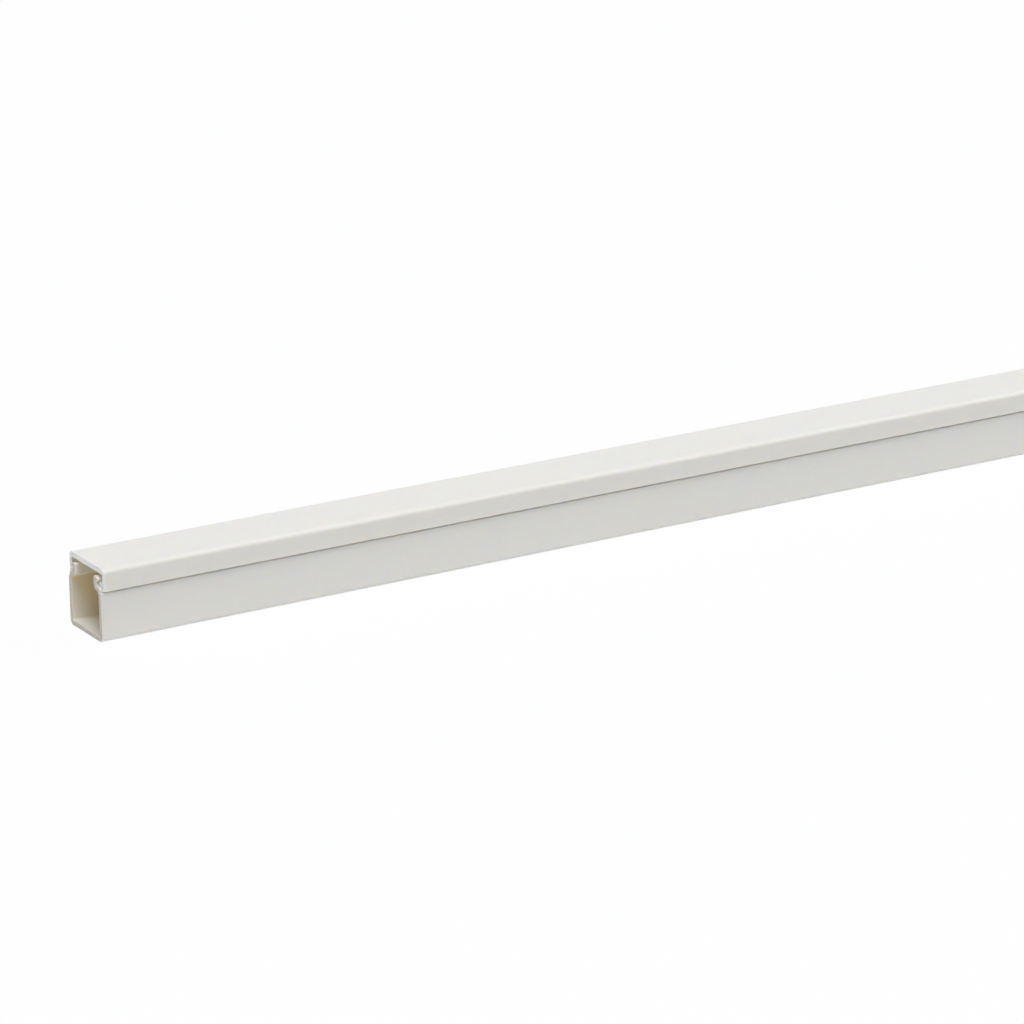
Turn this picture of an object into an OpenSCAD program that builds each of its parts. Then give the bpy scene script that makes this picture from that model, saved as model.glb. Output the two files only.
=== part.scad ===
// Mini cable trunking: a base channel and its clip-on lid, two straight extrusions.
// The length runs along X and the width along Y. The underside lies at Z = 0.

/* [Trunking] */
// Length of the base channel
length = 2000; // [500:100:3000]
// Outside width, over both skirts of the lid
width = 16; // [15:0.5:40]
// Outside height from the underside to the top of the lid
height = 16; // [14:0.5:40]

/* [Base channel] */
// Thickness of the floor
floor_t = 1.1; // [0.9:0.1:2]
// Thickness of the side walls, the shoulders and the necks
wall_t = 1.1; // [0.9:0.1:1.4]
// Radius of the outer bottom edges
bottom_r = 1.2; // [0.4:0.1:1.4]
// Slope of the shoulders between the walls and the necks, in degrees
shoulder_slope = 20; // [10:1:26]
// Distance from the side of the base in to the outer face of the neck
neck_inset = 2.1; // [1.8:0.1:3]
// Distance that the bead along the top of each neck stands out from it
bead_reach = 0.7; // [0.6:0.05:1]
// Height of the blunt nose of the bead
bead_h = 0.7; // [0.4:0.05:0.8]
// Drop of the bead's sloped top from the neck out to its nose, which leads the lid on
bead_drop = 0.25; // [0.1:0.05:0.5]

/* [Lid] */
// Thickness of the top plate
plate_t = 1.2; // [0.8:0.1:1.5]
// Thickness of the skirts
skirt_t = 0.85; // [0.7:0.05:1]
// Height of the skirts from the top face to their feet
skirt_h = 4.8; // [4.6:0.05:6]
// Distance that each skirt stands out past the side of the base
lid_overhang = 0.5; // [0.3:0.05:0.6]
// Height of the blunt tip of each hook
hook_h = 0.6; // [0.35:0.05:0.8]
// Radius of the outer top edges
top_r = 1.2; // [0.4:0.1:1.4]
// Distance that each end of the lid stands back from the end of the base
lid_setback = 0.6; // [0:0.1:5]

/* [Fit] */
// Height of the seam between the feet of the skirts and the ledges under them
seam_gap = 0.45; // [0.1:0.05:0.6]
// Gap between the tops of the necks and the underside of the lid
top_gap = 0.75; // [0.3:0.05:0.9]
// Clearance of the skirts to the base behind them, and of the hooks to the beads over them
clip_clearance = 0.15; // [0.05:0.05:0.25]
// Gap between the hooks and the shoulders under them, measured upright
shoulder_gap = 0.25; // [0.1:0.05:0.4]
// Room between the tip of a hook and the neck behind it
hook_room = 0.35; // [0.2:0.05:0.45]

/* [Edges] */
// Radius of the small edges of the clip
edge_r = 0.15; // [0.05:0.05:0.2]
// Radius of the inner corners of the necks and in the corners and folds inside both sections
fold_r = 0.4; // [0.2:0.05:0.6]

/* [Hidden] */
base_color = [0.90, 0.89, 0.86];
lid_color = [0.92, 0.91, 0.88];
arc_step = 15;

// Across, measured from the middle plane
lid_side = width / 2;
skirt_inner = lid_side - skirt_t;
side = lid_side - lid_overhang;
wall_inner = side - wall_t;
ledge_inner = skirt_inner - clip_clearance;
neck_outer = side - neck_inset;
neck_inner = neck_outer - wall_t;
bead_tip = neck_outer + bead_reach;
hook_tip = neck_outer + hook_room;

// Up, measured from the underside
plate_under = height - plate_t;
neck_top = plate_under - top_gap;
bead_top = neck_top - bead_drop;
bead_under = bead_top - bead_h;
hook_top = bead_under - clip_clearance;
hook_under = hook_top - hook_h;
skirt_foot = height - skirt_h;
ledge_z = skirt_foot - seam_gap;

// The underside of the hooks and both faces of the shoulders are parallel slopes, which fall
// from the neck out to the side
function slope_z(across, at_hook_tip) = at_hook_tip - (across - hook_tip) * tan(shoulder_slope);
shoulder_over = hook_under - shoulder_gap;
shoulder_under = shoulder_over - wall_t / cos(shoulder_slope);

// Half of the height of the bead's nose, so that it is round
bead_r = bead_h / 2;

// Right half of each section, counter-clockwise, as [across, up, corner radius]
base_half = [
    [side, 0, bottom_r],
    [side, ledge_z, edge_r],
    [ledge_inner, ledge_z, edge_r],
    [ledge_inner, slope_z(ledge_inner, shoulder_over), edge_r],
    [neck_outer, slope_z(neck_outer, shoulder_over), edge_r],
    [neck_outer, bead_under, edge_r],
    [bead_tip, bead_under, bead_r],
    [bead_tip, bead_top, bead_r],
    [neck_outer, neck_top, edge_r],
    [neck_inner, neck_top, fold_r],
    [neck_inner, slope_z(neck_inner, shoulder_under), fold_r],
    [wall_inner, slope_z(wall_inner, shoulder_under), fold_r],
    [wall_inner, floor_t, fold_r],
];
lid_half = [
    [skirt_inner, plate_under, fold_r],
    [skirt_inner, hook_top, edge_r],
    [hook_tip, hook_top, edge_r],
    [hook_tip, hook_under, edge_r],
    [skirt_inner, slope_z(skirt_inner, hook_under), edge_r],
    [skirt_inner, skirt_foot, edge_r],
    [lid_side, skirt_foot, edge_r],
    [lid_side, height, top_r],
];

function unit(v) = v / norm(v);
function point(corner) = [corner[0], corner[1]];
function mirrored(corner) = [-corner[0], corner[1], corner[2]];
function whole(half) =
    concat(half, [for (i = [len(half) - 1 : -1 : 0]) mirrored(half[i])]);

// The arc of radius r that rounds the corner at here, from the side of before to that of after
function corner_arc(before, here, after, r) =
    let (
        to_before = unit(before - here),
        to_after = unit(after - here),
        half_angle = acos(to_before * to_after) / 2,
        centre = here + unit(to_before + to_after) * r / sin(half_angle),
        first = here + to_before * r / tan(half_angle) - centre,
        turn = sign(cross(here - before, after - here)) * (180 - 2 * half_angle),
        steps = ceil(abs(turn) / arc_step)
    )
    [for (i = [0 : steps])
        let (a = turn * i / steps)
        centre + [first.x * cos(a) - first.y * sin(a), first.x * sin(a) + first.y * cos(a)]];

// A closed section with each of its corners rounded by that corner's own radius
module rounded_section(corners) {
    n = len(corners);
    polygon([
        for (i = [0 : n - 1])
            each corner_arc(
                point(corners[(i + n - 1) % n]),
                point(corners[i]),
                point(corners[(i + 1) % n]),
                corners[i][2]
            )
    ]);
}

// A section drawn across and up, pulled along X and centred on the origin
module extrusion(half, run) {
    rotate([90, 0, 90])
        linear_extrude(run, center = true)
            rounded_section(whole(half));
}

module base_channel() {
    color(base_color)
        extrusion(base_half, length);
}

module lid() {
    color(lid_color)
        extrusion(lid_half, length - 2 * lid_setback);
}

base_channel();
lid();
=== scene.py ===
import math

import bpy
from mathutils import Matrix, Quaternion, Vector


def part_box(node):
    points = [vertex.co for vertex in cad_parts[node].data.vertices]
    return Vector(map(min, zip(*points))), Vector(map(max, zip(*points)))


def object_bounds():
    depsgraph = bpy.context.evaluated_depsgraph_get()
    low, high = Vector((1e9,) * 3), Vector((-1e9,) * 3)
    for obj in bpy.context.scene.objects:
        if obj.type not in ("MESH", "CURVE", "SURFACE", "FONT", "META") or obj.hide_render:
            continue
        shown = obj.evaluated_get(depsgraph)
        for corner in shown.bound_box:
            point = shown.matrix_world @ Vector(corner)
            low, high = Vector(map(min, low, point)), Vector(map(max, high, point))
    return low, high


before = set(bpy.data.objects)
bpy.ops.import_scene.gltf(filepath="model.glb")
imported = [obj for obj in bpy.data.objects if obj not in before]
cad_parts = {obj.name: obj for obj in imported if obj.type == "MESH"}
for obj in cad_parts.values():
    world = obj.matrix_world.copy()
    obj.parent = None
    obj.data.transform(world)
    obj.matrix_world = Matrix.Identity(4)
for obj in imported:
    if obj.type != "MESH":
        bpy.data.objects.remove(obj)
CAD_LOW, CAD_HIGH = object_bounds()
BASE_LOW, BASE_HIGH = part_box("base_channel")

# Camera: its place is in metres from the near end's lower front corner, its angles are in degrees
CAMERA_OFFSET = Vector((-0.36994, -0.77299, 0.30515))
CAMERA_AZIMUTH = 31.264
CAMERA_ELEVATION = 18.018
CAMERA_ROLL = -0.535
CAMERA_LENS_MM = 153.81
CAMERA_SENSOR_MM = 36.0

# Studio: square softboxes of one size at one distance, in metres
SOFTBOX_DISTANCE = 6.0
SOFTBOX_SIZE = 2.5
# Each softbox as (name, direction to it, power in watts)
SOFTBOXES = [
    ("key", Vector((-0.27, -0.32, 0.91)), 210.0),
    ("fill", Vector((0.77, 0.0, 0.64)), 113.0),
    ("side", Vector((-0.92, -0.05, 0.38)), 31.0),
]
# Tint of the softboxes and of the even light from all around, and the strength of the latter
LIGHT_TINT = (0.97, 0.99, 1.04)
AMBIENT_STRENGTH = 0.175
# Length of the floor's sides, in metres, and the share of the white background that the camera sees in it
FLOOR_SIZE = 80.0
FLOOR_COLOUR = (0.95, 0.95, 0.95, 1.0)
FLOOR_WHITENESS = 0.95
WHITE = (1.0, 1.0, 1.0, 1.0)

# White PVC, as linear colours: outside, a painted warm glow inside the channel, and sawn ends in painted
# light and shade
BASE_COLOUR = (0.870, 0.853, 0.797)
LID_COLOUR = (0.885, 0.858, 0.790)
PAINTED_GLOW_COLOUR = (0.960, 0.812, 0.525)
# Sawn ends: the base's painted darker, as painted shade, and the lid's painted lighter, as painted light
# through its plate
BASE_SAWN_PAINTED_SHADE = (0.682, 0.635, 0.545)
LID_SAWN_PAINTED_LIGHT = (0.970, 0.950, 0.885)
# Each piece with its colour on the outside and on the sawn ends, where it is painted shade on the base and
# painted light on the lid
PIECE_COLOURS = {
    "base_channel": (BASE_COLOUR, BASE_SAWN_PAINTED_SHADE),
    "lid": (LID_COLOUR, LID_SAWN_PAINTED_LIGHT),
}
PVC_IOR = 1.53
PVC_ROUGHNESS = 0.42
SAWN_ROUGHNESS = 0.62
# Mean free path of red, green and blue light in the plastic, in metres
PVC_SCATTER = (0.0006, 0.0005, 0.00035)

# Surface detail: how many times each pattern repeats in a metre along X, Y and Z
DIE_LINES_PER_M = (2.0, 1500.0, 1500.0)
MOTTLE_PER_M = (25.0, 60.0, 60.0)
GRAIN_PER_M = (3500.0, 3500.0, 3500.0)
SAW_MARKS_PER_M = 1800.0
# How many finer layers each pattern has
DIE_LINES_DETAIL = 3.0
MOTTLE_DETAIL = 3.0
GRAIN_DETAIL = 2.0
SAW_MARKS_DETAIL = 2.0
# Slant of the saw marks, in degrees, and how much they waver
SAW_MARKS_SLANT = 12.0
SAW_MARKS_WAVER = 3.0
# Share of the colour and amount of roughness by which the patterns change the surface
COLOUR_CHANGE = 0.025
ROUGHNESS_CHANGE = 0.14
# Depth of the patterns, in metres
DIE_LINE_DEPTH = 0.000012
GRAIN_DEPTH = 0.000006
SAW_MARK_DEPTH = 0.00003
# Length at each end, in metres, over which the saw marks the skin in the sawn ends' colour, and how much at
# most
# That colour holds painted light on the lid, so the skin whitens there, and painted shade on the base, so
# it darkens
SAWN_EDGE_LENGTH = 0.0008
SAWN_EDGE_STRENGTH = 0.35
# A face is a sawn end where more than this share of its normal points along the length
END_FACING = 0.7

# Inside, the light that comes through the thin walls is painted into the colour as a warmer tint: a painted
# glow.
# A surface starts to take it where less than the first share of the space above it is open, and does fully
# at the second
ENCLOSED_BELOW = 0.28
ENCLOSED_FULLY = 0.10
# How far a surface looks up, in metres, and by how many rays
ENCLOSED_REACH = 0.02
ENCLOSED_SAMPLES = 8
# Thickness of the base's walls and floor, in metres: only what lies within them is inside
WALL_THICKNESS = 0.0011
# Above this height, in metres, the clip doubles the walls and lets only this share of that light through,
# so the painted glow is weaker
CLIP_HEIGHT = 0.011
CLIP_SHARE = 0.4

# Corners closer than this, in metres, are joined
WELD_DISTANCE = 1e-6
# Edges look smooth where their two faces meet at less than this angle, in degrees
SMOOTH_BELOW = 30.0
# How much large faces outweigh small ones in the shading: at the most, so that flat faces look flat
LARGE_FACE_WEIGHT = 100

# Places of the colours among the sockets of a Mix node
MIX_FIRST = 6
MIX_SECOND = 7
MIX_RESULT = 2


def make_camera():
    azimuth = math.radians(CAMERA_AZIMUTH)
    elevation = math.radians(CAMERA_ELEVATION)
    look = Vector((
        math.sin(azimuth) * math.cos(elevation),
        math.cos(azimuth) * math.cos(elevation),
        -math.sin(elevation),
    ))
    data = bpy.data.cameras.new("camera")
    data.sensor_width = CAMERA_SENSOR_MM
    data.lens = CAMERA_LENS_MM
    camera = bpy.data.objects.new("camera", data)
    bpy.context.scene.collection.objects.link(camera)
    camera.location = BASE_LOW + CAMERA_OFFSET
    camera.rotation_mode = "QUATERNION"
    roll = Quaternion((0.0, 0.0, 1.0), math.radians(CAMERA_ROLL))
    camera.rotation_quaternion = look.to_track_quat("-Z", "Y") @ roll
    bpy.context.scene.camera = camera


def calculate(tree, operation, first, second=0.0):
    """A Math node's result. Each operand is a socket or a number."""
    node = tree.nodes.new("ShaderNodeMath")
    node.operation = operation
    for socket, operand in zip(node.inputs, (first, second)):
        if isinstance(operand, bpy.types.NodeSocket):
            tree.links.new(operand, socket)
        else:
            socket.default_value = operand
    return node.outputs[0]


def shows_background(tree):
    """1 for rays that should meet the white background: from the camera, mirrored or refracted."""
    path = tree.nodes.new("ShaderNodeLightPath").outputs
    seen = calculate(tree, "MAXIMUM", path["Is Camera Ray"], path["Is Glossy Ray"])
    return calculate(tree, "MAXIMUM", seen, path["Is Transmission Ray"])


def mix_shaders(tree, share, first, second, output):
    """Sends the first shader to the output where the share is 0, and the second one where it is 1."""
    mix = tree.nodes.new("ShaderNodeMixShader")
    tree.links.new(share, mix.inputs["Fac"])
    tree.links.new(first.outputs[0], mix.inputs[1])
    tree.links.new(second.outputs[0], mix.inputs[2])
    tree.links.new(mix.outputs[0], output.inputs["Surface"])


def make_world():
    world = bpy.data.worlds.new("studio")
    bpy.context.scene.world = world
    world.use_nodes = True
    tree = world.node_tree
    tree.nodes.clear()
    ambient = tree.nodes.new("ShaderNodeBackground")
    ambient.inputs["Color"].default_value = (*LIGHT_TINT, 1.0)
    ambient.inputs["Strength"].default_value = AMBIENT_STRENGTH
    white = tree.nodes.new("ShaderNodeBackground")
    white.inputs["Color"].default_value = WHITE
    white.inputs["Strength"].default_value = 1.0
    output = tree.nodes.new("ShaderNodeOutputWorld")
    mix_shaders(tree, shows_background(tree), ambient, white, output)


def make_floor_white():
    """White paper that fades into the background for the camera, and still shows the shadow."""
    material = bpy.data.materials.new("floor_white")
    material.use_nodes = True
    tree = material.node_tree
    tree.nodes.clear()
    paper = tree.nodes.new("ShaderNodeBsdfDiffuse")
    paper.inputs["Color"].default_value = FLOOR_COLOUR
    white = tree.nodes.new("ShaderNodeEmission")
    white.inputs["Color"].default_value = WHITE
    white.inputs["Strength"].default_value = 1.0
    share = calculate(tree, "MULTIPLY", shows_background(tree), FLOOR_WHITENESS)
    output = tree.nodes.new("ShaderNodeOutputMaterial")
    mix_shaders(tree, share, paper, white, output)
    return material


def make_floor():
    mesh = bpy.data.meshes.new("floor")
    half = FLOOR_SIZE / 2
    corners = [(-half, -half, 0), (half, -half, 0), (half, half, 0), (-half, half, 0)]
    mesh.from_pydata(corners, [], [(0, 1, 2, 3)])
    mesh.materials.append(make_floor_white())
    floor = bpy.data.objects.new("floor", mesh)
    floor.location.z = CAD_LOW.z
    bpy.context.scene.collection.objects.link(floor)


def make_softbox(name, direction, power):
    data = bpy.data.lights.new(name, "AREA")
    data.shape = "SQUARE"
    data.size = SOFTBOX_SIZE
    data.energy = power
    data.color = LIGHT_TINT
    light = bpy.data.objects.new(name, data)
    bpy.context.scene.collection.objects.link(light)
    light.location = direction.normalized() * SOFTBOX_DISTANCE
    light.rotation_mode = "QUATERNION"
    light.rotation_quaternion = (-direction).to_track_quat("-Z", "Y")
    light.visible_camera = False


def make_smoothing():
    """Joins the faces of a solid and smooths the shallow edges between them, so that arcs shade as arcs."""
    group = bpy.data.node_groups.new("smooth_rounds", "GeometryNodeTree")
    group.interface.new_socket("Geometry", in_out="INPUT", socket_type="NodeSocketGeometry")
    group.interface.new_socket("Geometry", in_out="OUTPUT", socket_type="NodeSocketGeometry")
    nodes, links = group.nodes, group.links
    source = nodes.new("NodeGroupInput")
    weld = nodes.new("GeometryNodeMergeByDistance")
    weld.inputs["Distance"].default_value = WELD_DISTANCE
    bare = nodes.new("GeometryNodeRemoveAttribute")
    bare.inputs["Name"].default_value = "custom_normal"
    faces = nodes.new("GeometryNodeSetShadeSmooth")
    faces.domain = "FACE"
    angle = nodes.new("GeometryNodeInputMeshEdgeAngle")
    shallow = nodes.new("FunctionNodeCompare")
    shallow.data_type = "FLOAT"
    shallow.operation = "LESS_THAN"
    shallow.inputs["B"].default_value = math.radians(SMOOTH_BELOW)
    edges = nodes.new("GeometryNodeSetShadeSmooth")
    edges.domain = "EDGE"
    links.new(angle.outputs["Unsigned Angle"], shallow.inputs["A"])
    links.new(shallow.outputs["Result"], edges.inputs["Shade Smooth"])
    geometry = source.outputs["Geometry"]
    for step in (weld, bare, faces, edges):
        links.new(geometry, step.inputs["Geometry"])
        geometry = step.outputs["Geometry"]
    links.new(geometry, nodes.new("NodeGroupOutput").inputs["Geometry"])
    return group


def smooth(node, group):
    rounds = node.modifiers.new("smooth_rounds", "NODES")
    rounds.node_group = group
    flats = node.modifiers.new("flat_faces", "WEIGHTED_NORMAL")
    flats.mode = "FACE_AREA"
    flats.weight = LARGE_FACE_WEIGHT
    flats.thresh = 0.0
    flats.keep_sharp = True


def along_axes(tree, vector):
    """The X, Y and Z of a vector, as sockets."""
    split = tree.nodes.new("ShaderNodeSeparateXYZ")
    tree.links.new(vector, split.inputs["Vector"])
    return split.outputs


def ramp(tree, value, start, end, low, high):
    """Goes from low to high as the value goes from start to end, and stays level beyond them."""
    node = tree.nodes.new("ShaderNodeMapRange")
    for name, number in (("From Min", start), ("From Max", end), ("To Min", low), ("To Max", high)):
        node.inputs[name].default_value = number
    tree.links.new(value, node.inputs["Value"])
    return node.outputs["Result"]


def blend(tree, share, first, second):
    """A colour between two, of which each is a socket or a linear colour."""
    node = tree.nodes.new("ShaderNodeMix")
    node.data_type = "RGBA"
    tree.links.new(share, node.inputs["Factor"])
    for place, colour in ((MIX_FIRST, first), (MIX_SECOND, second)):
        if isinstance(colour, bpy.types.NodeSocket):
            tree.links.new(colour, node.inputs[place])
        else:
            node.inputs[place].default_value = (*colour, 1.0)
    return node.outputs[MIX_RESULT]


def scaled(colour, factor):
    return tuple(channel * factor for channel in colour)


def varied(tree, share, colour):
    """A colour that is a little darker where the share is 0 and a little lighter where it is 1."""
    return blend(tree, share, scaled(colour, 1.0 - COLOUR_CHANGE), scaled(colour, 1.0 + COLOUR_CHANGE))


def pattern(tree, point, per_metre, detail):
    """Noise from 0 to 1, with its own number of repeats along each axis."""
    stretch = tree.nodes.new("ShaderNodeMapping")
    stretch.inputs["Scale"].default_value = per_metre
    tree.links.new(point, stretch.inputs["Vector"])
    noise = tree.nodes.new("ShaderNodeTexNoise")
    noise.inputs["Scale"].default_value = 1.0
    noise.inputs["Detail"].default_value = detail
    tree.links.new(stretch.outputs["Vector"], noise.inputs["Vector"])
    return noise.outputs["Fac"]


def saw_marks(tree, point):
    """Fine slanted ridges, as a saw leaves them across the ends."""
    turn = tree.nodes.new("ShaderNodeMapping")
    turn.inputs["Rotation"].default_value = (math.radians(SAW_MARKS_SLANT), 0.0, 0.0)
    tree.links.new(point, turn.inputs["Vector"])
    wave = tree.nodes.new("ShaderNodeTexWave")
    wave.bands_direction = "Z"
    wave.inputs["Scale"].default_value = SAW_MARKS_PER_M / (2.0 * math.pi)
    wave.inputs["Distortion"].default_value = SAW_MARKS_WAVER
    wave.inputs["Detail"].default_value = SAW_MARKS_DETAIL
    tree.links.new(turn.outputs["Vector"], wave.inputs["Vector"])
    return wave.outputs["Fac"]


def on_sawn_end(tree, normal):
    """1 on the two faces that look along the length, 0 elsewhere."""
    along = calculate(tree, "ABSOLUTE", along_axes(tree, normal)["X"])
    return calculate(tree, "GREATER_THAN", along, END_FACING)


def light_through_walls(tree, place):
    """Share of the light from outside that comes through the plastic, which the painted glow stands for: 0
    on the outside itself.
    """
    across = calculate(tree, "ABSOLUTE", place["Y"])
    between = calculate(tree, "LESS_THAN", across, BASE_HIGH.y - WALL_THICKNESS / 2)
    above = calculate(tree, "GREATER_THAN", place["Z"], BASE_LOW.z + WALL_THICKNESS / 2)
    inside = calculate(tree, "MULTIPLY", between, above)
    behind_clip = calculate(tree, "GREATER_THAN", place["Z"], BASE_LOW.z + CLIP_HEIGHT)
    kept_out = calculate(tree, "MULTIPLY", behind_clip, 1.0 - CLIP_SHARE)
    return calculate(tree, "MULTIPLY", inside, calculate(tree, "SUBTRACT", 1.0, kept_out))


def painted_glow_share(tree, place):
    """Share of the painted warm glow: 1 deep inside the closed channel, falling to 0 at its open ends and
    where the lid is off.
    """
    up = tree.nodes.new("ShaderNodeCombineXYZ")
    up.inputs["Z"].default_value = 1.0
    view = tree.nodes.new("ShaderNodeAmbientOcclusion")
    view.samples = ENCLOSED_SAMPLES
    view.inputs["Distance"].default_value = ENCLOSED_REACH
    tree.links.new(up.outputs["Vector"], view.inputs["Normal"])
    share = ramp(tree, view.outputs["AO"], ENCLOSED_BELOW, ENCLOSED_FULLY, 0.0, 1.0)
    return calculate(tree, "MULTIPLY", share, light_through_walls(tree, place))


def sawn_edge_share(tree, place, half_length, grain):
    """Rises from 0 to its greatest share over the last stretch before each end, broken up by the grain. It
    blends in the sawn colour, which is painted light on the lid and painted shade on the base.
    """
    along = calculate(tree, "ABSOLUTE", place["X"])
    share = ramp(tree, along, half_length - SAWN_EDGE_LENGTH, half_length, 0.0, SAWN_EDGE_STRENGTH)
    return calculate(tree, "MULTIPLY", share, grain)


def raised(tree, height, depth, below=None):
    """A normal that follows a height pattern of the given depth, on top of another normal if given."""
    bump = tree.nodes.new("ShaderNodeBump")
    bump.inputs["Strength"].default_value = 1.0
    bump.inputs["Distance"].default_value = depth
    tree.links.new(height, bump.inputs["Height"])
    if below is not None:
        tree.links.new(below, bump.inputs["Normal"])
    return bump.outputs["Normal"]


def make_pvc(name, colour, painted_sawn_colour, half_length):
    """Satin extruded PVC: faint die lines along its length, a soft mottle, sawn ends in painted light and
    shade, and a painted warm glow inside.
    """
    material = bpy.data.materials.new(name)
    material.use_nodes = True
    tree = material.node_tree
    shader = tree.nodes["Principled BSDF"]
    coordinates = tree.nodes.new("ShaderNodeTexCoord")
    point = coordinates.outputs["Object"]
    place = along_axes(tree, point)

    lines = pattern(tree, point, DIE_LINES_PER_M, DIE_LINES_DETAIL)
    mottle = pattern(tree, point, MOTTLE_PER_M, MOTTLE_DETAIL)
    grain = pattern(tree, point, GRAIN_PER_M, GRAIN_DETAIL)
    sawn = on_sawn_end(tree, coordinates.outputs["Normal"])
    marks = calculate(tree, "MULTIPLY", saw_marks(tree, point), sawn)
    surface = calculate(tree, "MULTIPLY", calculate(tree, "ADD", lines, mottle), 0.5)

    outside = varied(tree, surface, colour)
    # Painted light: a warm glow painted inside the channel for the light that comes through the walls
    inside = varied(tree, surface, PAINTED_GLOW_COLOUR)
    skin = blend(tree, painted_glow_share(tree, place), outside, inside)
    # Near each end the skin blends towards the sawn colour: painted light whitens the lid, painted shade
    # darkens the base
    sawn_edge = sawn_edge_share(tree, place, half_length, grain)
    edged = blend(tree, sawn_edge, skin, scaled(painted_sawn_colour, 1.0 + COLOUR_CHANGE))
    # The sawn ends, in painted shade on the base and painted light on the lid, with saw marks
    ends = varied(tree, marks, painted_sawn_colour)
    tree.links.new(blend(tree, sawn, edged, ends), shader.inputs["Base Color"])

    smoothest = PVC_ROUGHNESS - ROUGHNESS_CHANGE / 2
    roughest = PVC_ROUGHNESS + ROUGHNESS_CHANGE / 2
    finish = ramp(tree, surface, 0.0, 1.0, smoothest, roughest)
    rougher = calculate(tree, "MULTIPLY", sawn, SAWN_ROUGHNESS - PVC_ROUGHNESS)
    tree.links.new(calculate(tree, "ADD", finish, rougher), shader.inputs["Roughness"])

    normal = raised(tree, lines, DIE_LINE_DEPTH)
    normal = raised(tree, grain, GRAIN_DEPTH, normal)
    normal = raised(tree, marks, SAW_MARK_DEPTH, normal)
    tree.links.new(normal, shader.inputs["Normal"])

    shader.inputs["IOR"].default_value = PVC_IOR
    shader.inputs["Subsurface Weight"].default_value = 1.0
    shader.inputs["Subsurface Radius"].default_value = PVC_SCATTER
    shader.inputs["Subsurface Scale"].default_value = 1.0
    return material


def dress_nodes():
    smoothing = make_smoothing()
    for name, (colour, painted_sawn_colour) in PIECE_COLOURS.items():
        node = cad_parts[name]
        half_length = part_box(name)[1].x
        node.material_slots[0].material = make_pvc(name + "_pvc", colour, painted_sawn_colour, half_length)
        smooth(node, smoothing)


bpy.context.scene.view_settings.view_transform = "Standard"
make_camera()
make_world()
make_floor()
for softbox in SOFTBOXES:
    make_softbox(*softbox)
dress_nodes()
